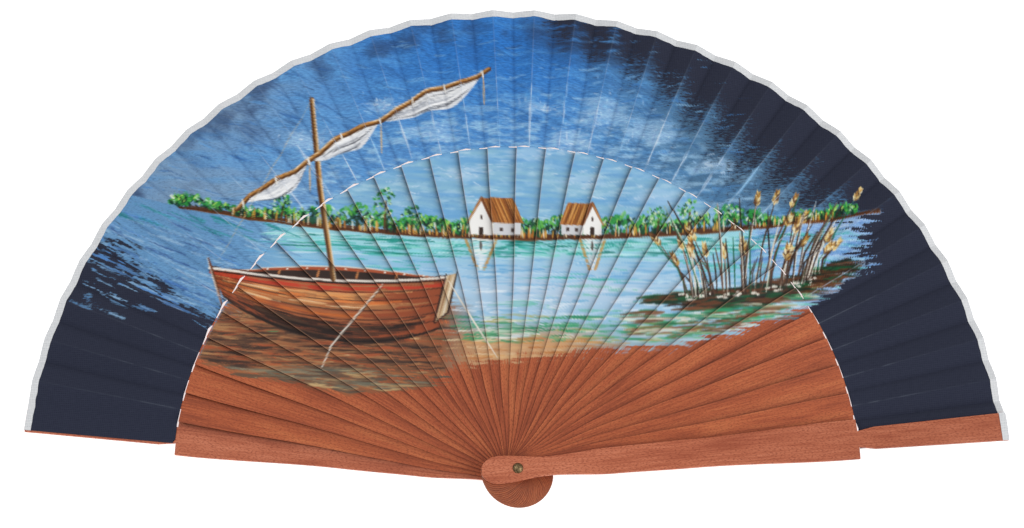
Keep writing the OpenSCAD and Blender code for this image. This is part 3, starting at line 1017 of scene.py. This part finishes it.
stick_wood = pearwood("varnished_pearwood_sticks",
                      ("#8e4429", "#ad5734", "#c26d42", "#783620"), 0.62, True)
guard_wood = pearwood("varnished_pearwood_guards",
                      ("#a05136", "#b96849", "#cd7d5d", "#8c422b"), 0.85, False)

# %% [markdown]
# ** Dyed cotton** is a plain weave. Its threads are about 0.3 mm apart, too fine to show
# from here, so the weave is drawn at 0.8 mm. Along every ridge the cloth shows lighter,
# partly where dye and paint wear thin and partly as a painted highlight; each valley gets painted
# shade.

# %% Cotton


def cotton(name, base, light, thread, painted_on):
    """Plain-weave cotton on the flat map of the cloth, with an optional painting."""
    material, tree, shader = new_material(name)
    uv = add_node(tree, "UVMap", uv_map="weave").outputs["UV"]
    waves = []
    for way, turn in (("X", 0.06), ("Y", 0.04)):
        at = add_node(tree, "Mapping", {"Vector": uv, "Rotation": (0, 0, turn)})
        wave = add_node(tree, "TexWave", {"Vector": at.outputs["Vector"], "Scale": 0.31 / thread,
                                          "Distortion": 1.2, "Detail": 2.0, "Detail Scale": 1.5},
                        bands_direction=way)
        waves.append(wave.outputs["Fac"])
    slubs = long_noise(tree, uv, (420, 1500, 1), 4.0, roughness=0.6)
    threads = mix(tree, 0.6, maths(tree, "MAXIMUM", *waves), slubs)
    colour = mix_colours(tree, rescale(tree, threads, 0.3, 0.8), linear(base), linear(light))
    if painted_on:
        art = add_node(tree, "Attribute", attribute_name="painting")
        brushed = dry_brush(tree, art.outputs["Alpha"], slubs)
        grained = mix_colours(tree, 0.75, art.outputs["Color"], slubs, "OVERLAY")
        colour = mix_colours(tree, brushed, colour, grained)
    # c3d2e2 lightens the ridges where they have wear and paints their highlight; #8a90a4 is the
    # painted shade in the valleys.
    feed(tree, shader, {"Base Color": add_painted_shade_and_wear(tree, colour, "#c3d2e2", 0.8, "#8a90a4", 0.8),
                        "Normal": bump(tree, threads, 0.35, 0.0001), "Roughness": 0.85,
                        "Specular IOR Level": 0.15, "Sheen Weight": 0.05,
                        "Sheen Roughness": 0.6})
    return material


leaf_cotton = cotton("navy_plain_weave_cotton", "#1f2334", "#2d3142", 0.0008, True)
tape_cotton = cotton("white_cotton_tape", "#c0c3c7", "#e2e3e4", 0.0007, False)

# %% [markdown]
# **Brass** on a rivet that has been handled is dull and brownish, with a few brighter
# spots where the varnish has gone.

# %% Brass
rivet_brass, tree, shader = new_material("tarnished_brass")
place = add_node(tree, "TexCoord").outputs["Object"]
spots = add_node(tree, "TexNoise", {"Vector": place, "Scale": 1400.0, "Detail": 3.0}).outputs["Fac"]
feed(tree, shader, {"Base Color": ramp(tree, spots, (0.4, "#5f4f39"), (0.62, "#957f5c")),
                    "Roughness": rescale(tree, spots, 0.0, 1.0, 0.6, 0.4), "Metallic": 1.0})

# %% [markdown]
# ## Wooden blades
# A stick or a guard starts as a flat grid. Its rows are moved to the stations of the
# outline, the slip is extruded out of the shoulder, and then it gets its thickness and
# the hole for the rivet.

# %% Helpers for modelling


def select_only(thing):
    bpy.ops.object.select_all(action="DESELECT")
    thing.select_set(True)
    bpy.context.view_layer.objects.active = thing


def modify(thing, kind, **settings):
    """Adds a modifier with its settings and applies it."""
    select_only(thing)
    bpy.ops.object.modifier_add(type=kind)
    for name, value in settings.items():
        setattr(thing.modifiers[-1], name, value)
    bpy.ops.object.modifier_apply(modifier=thing.modifiers[-1].name)


def edit_edges(thing, wanted):
    """Opens a mesh for editing with only the wanted edges selected."""
    select_only(thing)
    bpy.ops.object.mode_set(mode="EDIT")
    bm = bmesh.from_edit_mesh(thing.data)
    for element in [*bm.verts, *bm.edges, *bm.faces]:
        element.select_set(False)
    for edge in [edge for edge in bm.edges if wanted(edge)]:
        edge.select_set(True)
    bmesh.update_edit_mesh(thing.data)


def points_of(mesh):
    co = np.zeros(len(mesh.vertices) * 3)
    mesh.vertices.foreach_get("co", co)
    return co.reshape(-1, 3)


def set_points(mesh, co):
    mesh.vertices.foreach_set("co", np.asarray(co, np.float64).ravel())
    mesh.update()


def half_width(r, stations):
    """Half the width of a blade at r, round at its head and eased between stations."""
    r = np.asarray(r, float)
    marks = [(-BULGE_R, HEAD_W)] + list(stations)
    half = np.full(r.shape, marks[-1][1] / 2)
    for (r0, w0), (r1, w1) in zip(marks[:-1], marks[1:]):
        on = (r >= r0) & (r < r1)
        half[on] = (w0 + (w1 - w0) * ease((r[on] - r0) / (r1 - r0))) / 2
    head = r < -BULGE_R
    across = unit((-BULGE_R - r[head]) / (HEAD_R - BULGE_R))
    half[head] = HEAD_W / 2 * np.sqrt(1 - across**2)
    return half


def blade(name, stations, slip, rows, lanes, thick):
    """A flat blade along +X with its slip, the rivet at the origin, in millimetres."""
    bpy.ops.object.select_all(action="DESELECT")
    bpy.ops.mesh.primitive_grid_add(x_subdivisions=len(rows) - 1, y_subdivisions=lanes, size=2)
    thing = bpy.context.object
    thing.name = thing.data.name = name
    co = points_of(thing.data)
    row = np.rint((co[:, 0] + 1) / 2 * (len(rows) - 1)).astype(int)
    r = np.asarray(rows)[row]
    side = co[:, 1] * half_width(r, stations)
    bow = r - np.sqrt(np.maximum(r * r - side * side, 0))
    set_points(thing.data, np.c_[r - bow * ease((r - 100) / 50), side, np.zeros(len(r))])

    root, tip, end = slip
    reach_in = root / 2 + 0.3 * HEAD_W / lanes
    edit_edges(thing, lambda edge: all(math.hypot(v.co.x, v.co.y) > SHOULDER_R - 0.05
                                       and abs(v.co.y) < reach_in for v in edge.verts))
    for step in np.diff(np.linspace(SHOULDER_R, end, 10)):
        bpy.ops.mesh.extrude_edges_move(TRANSFORM_OT_translate={"value": (step, 0, 0)})
    bpy.ops.object.mode_set(mode="OBJECT")
    co = points_of(thing.data)
    on_slip = co[:, 0] > SHOULDER_R + 0.5
    t = (co[on_slip, 0] - SHOULDER_R) / (end - SHOULDER_R)
    widest = np.abs(co[on_slip, 1]).max()
    co[on_slip, 1] *= (root + (tip - root) * t) / 2 / widest
    far = on_slip & (co[:, 0] > end - 0.5)
    co[far, 0] = np.sqrt(end * end - co[far, 1] ** 2)
    set_points(thing.data, co)

    modify(thing, "SOLIDIFY", thickness=thick, offset=1)
    return thing


def drill(thing, radius, low, high):
    """Cuts a round hole about the rivet's axis from low to high."""
    bpy.ops.object.select_all(action="DESELECT")
    bpy.ops.mesh.primitive_cylinder_add(vertices=48, radius=radius, depth=high - low,
                                        location=(0, 0, (low + high) / 2))
    cutter = bpy.context.object
    modify(thing, "BOOLEAN", object=cutter, operation="DIFFERENCE")
    bpy.data.objects.remove(cutter)


def hidden_by_next(co, following):
    """1 beside or under the next piece's edge, fading to 0 a little way off it."""
    a = math.radians(PITCH)
    x = co[:, 0] * math.cos(a) - co[:, 1] * math.sin(a)
    y = co[:, 0] * math.sin(a) + co[:, 1] * math.cos(a)
    away = np.abs(y) - half_width(np.minimum(x, SHOULDER_R), following)
    shown = np.maximum(np.hypot(x, y) * a, 1.0)
    beside = 0.66 * np.exp(-np.maximum(away, 0) / np.minimum(1.7, 0.35 * shown))
    return np.where(away < 0, 1, beside) * (x < SHOULDER_R + 1)


def add_floats(mesh, name, values):
    mesh.attributes.new(name, "FLOAT", "POINT").data.foreach_set(
        "value", np.asarray(values, np.float32))


def add_colours(mesh, name, values):
    mesh.attributes.new(name, "FLOAT_COLOR", "POINT").data.foreach_set(
        "color", np.asarray(values, np.float32).ravel())


def add_map(mesh, name, u, v):
    """A UV map from one pair of values per vertex, in metres."""
    corner = np.zeros(len(mesh.loops), np.int32)
    mesh.loops.foreach_get("vertex_index", corner)
    pairs = np.c_[np.asarray(u)[corner], np.asarray(v)[corner]]
    mesh.uv_layers.new(name=name).uv.foreach_set("vector", pairs.astype(np.float32).ravel())


def plain_tape(mesh, points):
    """Maps for a tape with no wear, no highlight and no painted shade, from points in metres."""
    add_map(mesh, "weave", points[:, 0], points[:, 1])
    for name in ("wear_and_highlight", "painted_shade"):
        add_floats(mesh, name, np.zeros(len(points)))


def sheet_object(name, points, faces):
    """A new object from points in millimetres."""
    mesh = bpy.data.meshes.new(name)
    mesh.from_pydata((points * MM).tolist(), [], faces)
    mesh.update()
    thing = bpy.data.objects.new(name, mesh)
    scene.collection.objects.link(thing)
    return thing


def turned(co, angle):
    """Points turned about the rivet's axis."""
    a = math.radians(angle)
    x, y = co[:, 0], co[:, 1]
    return np.c_[x * math.cos(a) - y * math.sin(a), x * math.sin(a) + y * math.cos(a), co[:, 2]]


# %% [markdown]
# The guards are thick enough to keep their edges: two millimetres, eased with a small
# bevel. The back guard is let in underneath for the washer and the rivet's tail.

# %% Guards
GUARD_ROWS = np.concatenate([
    -BULGE_R - (HEAD_R - BULGE_R) * np.cos(np.radians(np.linspace(4, 86, 12))),
    np.linspace(-BULGE_R, SHOULDER_R, 90)])


def guard(name, k, underside):
    thing = blade(name, GUARD_STATIONS, GUARD_SLIP, GUARD_ROWS, 10, GUARD_T)
    edit_edges(thing, lambda edge: abs(edge.verts[0].co.z - edge.verts[1].co.z) < 1e-4
               and len(edge.link_faces) == 2 and edge.calc_face_angle() > 1.2)
    bpy.ops.mesh.bevel(offset=GUARD_BEVEL, segments=3, profile=0.5)
    bpy.ops.object.mode_set(mode="OBJECT")
    drill(thing, BORE_R, -1, GUARD_T + 1)
    if k == 0:
        drill(thing, WASHER_POCKET_R, -1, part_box("back_washer")[1].z / MM + 0.04)
    bpy.ops.object.shade_smooth_by_angle(angle=math.radians(35))
    co = points_of(thing.data)
    add_map(thing.data, "grain", co[:, 0] * MM, co[:, 1] * MM + 0.4 + 0.05 * k)
    add_floats(thing.data, "wear_and_highlight", np.zeros(len(co)))
    # Painted shade on the back guard beside and under the first stick's edge; the front guard is
    # only made darker towards its tip.
    under = hidden_by_next(co, STICK_STATIONS) * (co[:, 2] > GUARD_T - 0.1)
    add_floats(thing.data, "painted_shade", under if k == 0 else 0.18 * ease((co[:, 0] - 60) / 120))
    co[:, 2] += underside
    set_points(thing.data, turned(co, place_angle(k)) * MM)
    thing.data.materials.append(guard_wood)
    return thing


back_guard = guard("back_guard_blade", 0, 0.0)
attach(back_guard, "back_guard_and_leaf")
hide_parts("back_guard")
front_guard = guard("front_guard_blade", LAST, FRONT_Z)
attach(front_guard, "front_guard")
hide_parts("front_guard")
print("guard points", len(back_guard.data.vertices))

# %% [markdown]
# One stick is modelled flat and copied. Each copy is then bent to its own place in the
# stack and turned about the rivet. Its points are close enough to hold the painting.

# %% Sticks
STICK_ROWS = np.concatenate([
    -BULGE_R - (HEAD_R - BULGE_R) * np.cos(np.radians(np.linspace(5, 85, 8))),
    np.linspace(-BULGE_R, 26, 18), np.linspace(26.7, SHOULDER_R, 212)])
LANES = 32
flat_stick = blade("stick_blank", STICK_STATIONS, STICK_SLIP, STICK_ROWS, LANES, STICK_T)
drill(flat_stick, BORE_R, -1, 1)
bpy.ops.object.shade_smooth_by_angle(angle=math.radians(35))
blank = points_of(flat_stick.data)
blank_r = np.where(blank[:, 0] > 0, np.hypot(blank[:, 0], blank[:, 1]), blank[:, 0])
on_top = blank[:, 2] > STICK_T / 2
left_edge = half_width(np.minimum(blank_r, SHOULDER_R), STICK_STATIONS) - blank[:, 1]
# Lighter along each stick's raised left edge and the rim of its head: partly wear of paint and
# wood, partly a painted highlight.
wear_and_highlight = unit(1 - left_edge / 0.5) * on_top * (blank_r > 12) * (blank_r < 150.2)
wear_and_highlight *= 0.35 + 0.65 * ease((blank_r - 20) / 60)
# Painted shade beside and under the next stick's edge, where that edge lifts over this stick.
painted_shade = hidden_by_next(blank, STICK_STATIONS) * on_top
past_bulge = np.maximum(-blank[:, 0] - BULGE_R, 0) / (HEAD_R - BULGE_R)
from_rim = (1 - np.hypot(past_bulge, blank[:, 1] / (HEAD_W / 2))) * HEAD_W / 2
head_rim_wear_and_highlight = unit(1 - from_rim / 0.45) * on_top * 0.8

for k, node in enumerate(STICKS, start=1):
    stick = flat_stick.copy()
    stick.data = flat_stick.data.copy()
    scene.collection.objects.link(stick)
    stick.name = stick.data.name = node + "_blade"
    share = (blank[:, 2] - STICK_T / 2) / STICK_T
    height = (stick_middle(k, blank_r) + blank[:, 1] * np.tan(stick_slope(blank_r))
              + share * stick_thickness(blank_r))
    co = turned(np.c_[blank[:, 0], blank[:, 1], height], place_angle(k))
    set_points(stick.data, co * MM)
    shown = blank_r * math.radians(PITCH) + 0.8
    art = painting_at(co[:, 0], co[:, 1])
    art[:, 3] *= on_top & (left_edge < shown)
    add_colours(stick.data, "painting", art)
    add_floats(stick.data, "wear_and_highlight", np.where(blank_r < 0, head_rim_wear_and_highlight, wear_and_highlight * (0.1 + 0.8 * art[:, 3])))
    add_floats(stick.data, "painted_shade", painted_shade)
    add_map(stick.data, "grain", blank[:, 0] * MM, blank[:, 1] * MM + 0.03 * k)
    stick.data.materials.append(stick_wood)
    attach(stick, node)
    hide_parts(node)
bpy.data.objects.remove(flat_stick)
print("stick points", len(blank), "each")

# %% [markdown]
# ## The leaf
# The leaf is one sheet of cloth. Its upper side is a fine grid that follows the folds and
# holds the painting. Its underside is plain dyed cloth, so it is a coarse grid, and the
# two are joined round the rim.

# %% Leaf
FINE, COARSE = 0.18, 0.7
BOLD_LEFT, BOLD_RIGHT = 158.0, 30.0


def facet_columns(first, second):
    """Angles across one facet, close together where there is detail."""
    step = FINE if BOLD_RIGHT < (first + second) / 2 < BOLD_LEFT else COARSE
    count = max(2, int(round((first - second) / step)))
    inside = np.linspace(first, second, count, endpoint=False)[1:]
    inside = inside[(first - inside > 0.2) & (inside - second > 0.2)]
    return np.concatenate([[first, first - 0.14], inside, [second + 0.14]])


columns = np.concatenate(
    [facet_columns(a, b) for a, b in zip(FOLD_ANGLES[:-1], FOLD_ANGLES[1:])]
    + [FOLD_ANGLES[-1:]])
is_fold = np.isclose(columns[:, None], FOLD_ANGLES[None, :]).any(1)
shares = np.interp(-columns, -FOLD_ANGLES, FOLD_SHARES)


def gap_in_front(angle):
    """The leaf's inner edge: close on the slips, further off just left of each slip."""
    t = ((place_angle(0) + SLIP_HALF_ANGLE - angle) % PITCH) / PITCH
    open_part = unit((t - 0.3) / 0.66) * (t < 0.97)
    widest = np.interp(angle, [24, 36, 62, 95, 125], [0.95, 0.4, 0.35, 0.6, 1.0])
    return CLOTH_IN - SHOULDER_R - 0.28 + widest * open_part


def ripple(a, r):
    """The small unevenness of cloth that has been folded many times."""
    return 0.16 * (layered(a / 1.3 + 20, r / 14 + 20, 91, 3) - 0.5)


def polar_points(a, r, z):
    return np.c_[r * np.cos(np.radians(a)), r * np.sin(np.radians(a)), z]


def quads(grid):
    """The four corners of every cell of a grid of point numbers."""
    return np.stack([grid[:-1, :-1], grid[:-1, 1:], grid[1:, 1:], grid[1:, :-1]], -1)


def sheet_points(angles, rows, lift):
    """Points of the leaf: rows run outwards from 0 to 1, lift is along Z."""
    a = np.repeat(angles, len(rows))
    start = SHOULDER_R + gap_in_front(a)
    r = start + np.tile(rows, len(angles)) * (CLOTH_OUT - start)
    z = leaf_height(a, r) + ripple(a, r) * ease((r - SHOULDER_R) / 12) + lift
    return polar_points(a, r, z)


fine_rows = np.linspace(0, 1, 112)
coarse_rows_at = np.unique(np.rint(np.linspace(0, 111, 15)).astype(int))
coarse_columns_at = [0]
for i in range(1, len(columns)):
    if is_fold[i] or i - coarse_columns_at[-1] >= 5 or i == len(columns) - 1:
        coarse_columns_at.append(i)
coarse_columns_at = np.array(coarse_columns_at)

top_points = sheet_points(columns, fine_rows, CLOTH_T / 2)
under_points = sheet_points(columns[coarse_columns_at], fine_rows[coarse_rows_at], -CLOTH_T / 2)
nt, nr = len(columns), len(fine_rows)
mt, mr = len(coarse_columns_at), len(coarse_rows_at)
grid = np.arange(nt * nr).reshape(nt, nr)
below = nt * nr + np.arange(mt * mr).reshape(mt, mr)
faces = quads(grid)[:, :, ::-1].reshape(-1, 4).tolist() + quads(below).reshape(-1, 4).tolist()
for n in range(mt - 1):
    i, j = coarse_columns_at[n], coarse_columns_at[n + 1]
    faces.append([*grid[i : j + 1, 0].tolist(), below[n + 1, 0], below[n, 0]])
    faces.append([*grid[i : j + 1, -1][::-1].tolist(), below[n, -1], below[n + 1, -1]])
for m in range(mr - 1):
    i, j = coarse_rows_at[m], coarse_rows_at[m + 1]
    faces.append([*grid[0, i : j + 1][::-1].tolist(), below[0, m], below[0, m + 1]])
    faces.append([*grid[-1, i : j + 1].tolist(), below[-1, m + 1], below[-1, m]])

all_points = np.vstack([top_points, under_points])
leaf = sheet_object("cotton_leaf", all_points, faces)
mesh = leaf.data

art = painting_at(all_points[:, 0], all_points[:, 1])
art[len(top_points) :, 3] = 0
add_colours(mesh, "painting", art)
angle_of = np.degrees(np.arctan2(all_points[:, 1], all_points[:, 0]))
radius_of = np.hypot(all_points[:, 0], all_points[:, 1])
to_fold = [np.radians(np.abs(angle_of[:, None] - FOLD_ANGLES[None, i:-2:2]).min(1)) * radius_of
           for i in (2, 3)]
near_shoulder = ease(1.15 - (radius_of - SHOULDER_R) / 50)
patchy = unit(layered(angle_of * 0.9, radius_of / 5, 15) * 2.6 - 0.9)
# Ridges are lighter, partly from wear and partly a painted highlight; the valleys get painted
# shade.
ridge_wear_and_highlight = unit(1 - to_fold[0] / 0.42) * (0.07 + 0.6 * near_shoulder * patchy)
ridge_wear_and_highlight *= 0.14 + 0.8 * art[:, 3]
valley_shade = unit(1 - to_fold[1] / 1.3) * 0.4
above = np.arange(len(all_points)) < len(top_points)
add_floats(mesh, "wear_and_highlight", ridge_wear_and_highlight * above)
add_floats(mesh, "painted_shade", valley_shade * above)
add_map(mesh, "weave", all_points[:, 0] * MM, all_points[:, 1] * MM)
mesh.materials.append(leaf_cotton)
select_only(leaf)
bpy.ops.object.shade_smooth_by_angle(angle=math.radians(22))
weights = np.concatenate([np.repeat(shares, nr), np.repeat(shares[coarse_columns_at], mr)])
print("leaf faces", len(faces))

# %% [markdown]
# The white tape is folded over the leaf's outer edge and follows the same pleats. Its
# inner border was cut by hand, so it wanders a little.

# %% Edge binding
TAPE_LIFT, TAPE_CLEAR = 0.02, 0.03
tape_columns = np.concatenate(
    [np.linspace(a, b, 9, endpoint=False) for a, b in zip(FOLD_ANGLES[:-1], FOLD_ANGLES[1:])]
    + [FOLD_ANGLES[-1:]])
SECTION = [(0, -1, 1), (0.5, -1, 1), (1, -1, 1), (1, 1, 1), (0.5, 1, 1), (0, 1, 1),
           (0, 1, 0), (0.5, 1, 0), (1, 1, 0), (1, -1, 0), (0.5, -1, 0), (0, -1, 0)]
a = np.repeat(tape_columns, len(SECTION))
out, side, outer = (np.tile(part, len(tape_columns)) for part in zip(*SECTION))
wander = 0.5 * (layered(a / 0.9 + 5, a * 0 + side * 4 + 9, 63, 3) - 0.5)
inner_r = TAPE_IN + wander
outer_r = np.where(outer == 1, FAN_R, CLOTH_OUT + TAPE_CLEAR)
r = inner_r + out * (outer_r - inner_r)
z = leaf_height(a, np.minimum(r, CLOTH_OUT)) + ripple(a, r)
tape_points = polar_points(a, r, z + side * (CLOTH_T / 2 + TAPE_LIFT + outer * TAPE_T))
ring = len(SECTION)
at = np.arange(len(tape_points)).reshape(-1, ring)
follow = np.roll(at, -1, axis=1)
faces = np.stack([at[:-1], follow[:-1], follow[1:], at[1:]], -1).reshape(-1, 4).tolist()
for end, flip in ((at[0], True), (at[-1], False)):
    for i, j in ((0, 11), (1, 10), (2, 9), (3, 8), (4, 7)):
        quad = [int(end[i]), int(end[(i + 1) % ring]), int(end[(j - 1) % ring]), int(end[j])]
        faces.append(quad[::-1] if flip else quad)
tape = sheet_object("cotton_edge_tape", tape_points, faces)
plain_tape(tape.data, tape_points * MM)
tape.data.materials.append(tape_cotton)
select_only(tape)
bpy.ops.object.mode_set(mode="EDIT")
bpy.ops.mesh.select_all(action="SELECT")
bpy.ops.mesh.normals_make_consistent(inside=False)
bpy.ops.object.mode_set(mode="OBJECT")
bpy.ops.object.shade_smooth_by_angle(angle=math.radians(22))
tape_weights = np.repeat(np.interp(-tape_columns, -FOLD_ANGLES, FOLD_SHARES), ring)

# %% [markdown]
# ## The rivet
# The cap is a slice of a ball with an eased rim. The shank, its flat tail and the washer
# keep their CAD shapes.

# %% Rivet cap
low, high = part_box("rivet_cap")
cap_r, cap_h = (high.x - low.x) / 2, high.z - low.z
ball_r = (cap_r * cap_r + cap_h * cap_h) / (2 * cap_h)
bpy.ops.object.select_all(action="DESELECT")
bpy.ops.mesh.primitive_uv_sphere_add(segments=64, ring_count=48, radius=ball_r,
                                     location=(0, 0, high.z - ball_r))
cap = bpy.context.object
cap.name = cap.data.name = "domed_rivet_cap"
bpy.ops.object.transform_apply(location=True, rotation=True, scale=True)
bpy.ops.object.mode_set(mode="EDIT")
bpy.ops.mesh.select_all(action="SELECT")
bpy.ops.mesh.bisect(plane_co=(0, 0, low.z), plane_no=(0, 0, 1), use_fill=True, clear_inner=True)
bpy.ops.object.mode_set(mode="OBJECT")
edit_edges(cap, lambda edge: all(abs(v.co.z - low.z) < 1e-6 for v in edge.verts)
           and edge.calc_face_angle(0) > 0.3)
bpy.ops.mesh.bevel(offset=CAP_BEVEL * MM, segments=3)
bpy.ops.object.mode_set(mode="OBJECT")
bpy.ops.object.shade_smooth_by_angle(angle=math.radians(40))
cap.data.materials.append(rivet_brass)
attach(cap, "back_guard_and_leaf")
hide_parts("rivet_cap")

for node, material, slot in (
    ("rivet_pin", rivet_brass, "brass"),
    ("back_washer", rivet_brass, "brass"),
    ("tip_binding", tape_cotton, "edge_tape"),
):
    piece = frame["nodes"][node]
    piece.data.materials.clear()
    piece.data.materials.append(material)
tip = frame["nodes"]["tip_binding"].data
plain_tape(tip, points_of(tip))

# %% [markdown]
# ## Shares of the fold
# Where a slip is glued to the leaf, the cloth would turn with its stick, and the half pleat
# between two sticks by an amount in between. Each point's share of the front guard's turn is
# worked out above, constant on one side of each pleat and changing evenly across the other.
# Here the shares are not applied: the leaf and the tape only have their places baked into their
# points.

# %% Bake the places of the leaf and the tape
for piece, share in ((leaf, weights), (tape, tape_weights)):
    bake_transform(piece)
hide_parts("leaf")
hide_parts("edge_binding")
